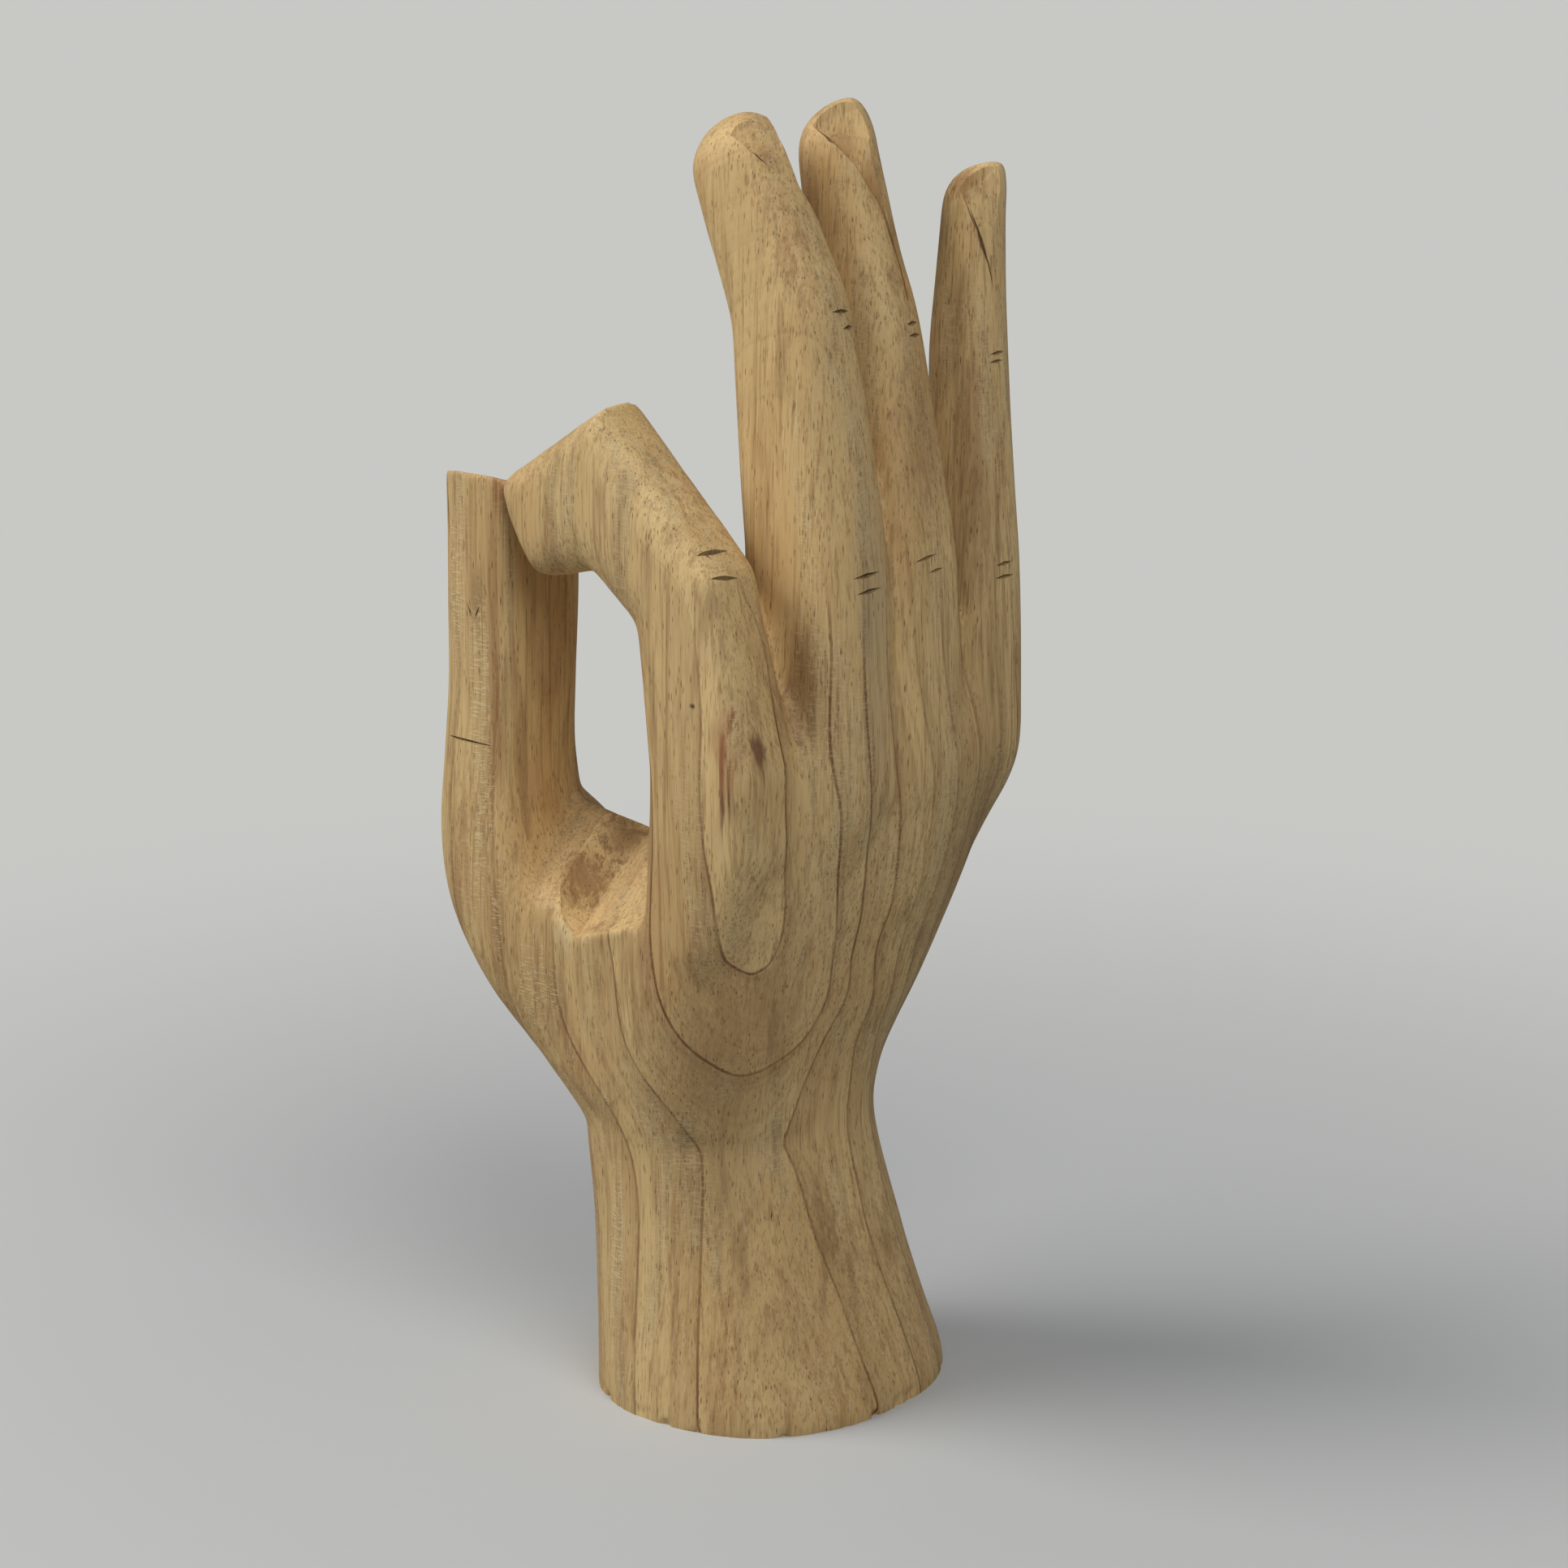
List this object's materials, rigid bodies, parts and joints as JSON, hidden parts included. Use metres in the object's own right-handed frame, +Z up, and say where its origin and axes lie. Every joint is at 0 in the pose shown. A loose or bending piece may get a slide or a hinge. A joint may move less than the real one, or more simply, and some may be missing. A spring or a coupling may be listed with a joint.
{
  "type": "hand gesture sculpture",
  "caption": "Carved wooden hand standing on its sawn wrist, thumb and index fingertip joined in a ring, the other fingers raised.",
  "frame": {"origin": "centre of the flat sawn base", "axes": "+Z up along the forearm and fingers, +X out of the back of the hand, -X out of the palm, -Y towards the thumb's side, +Y towards the little finger's side"},
  "size_m": [0.1124, 0.0921, 0.2983],
  "materials": {
    "wood": "bare, finely sanded, with open pores"
  },
  "bodies": {
    "root": {"carved_hand": "wood"}
  },
  "joints": []
}
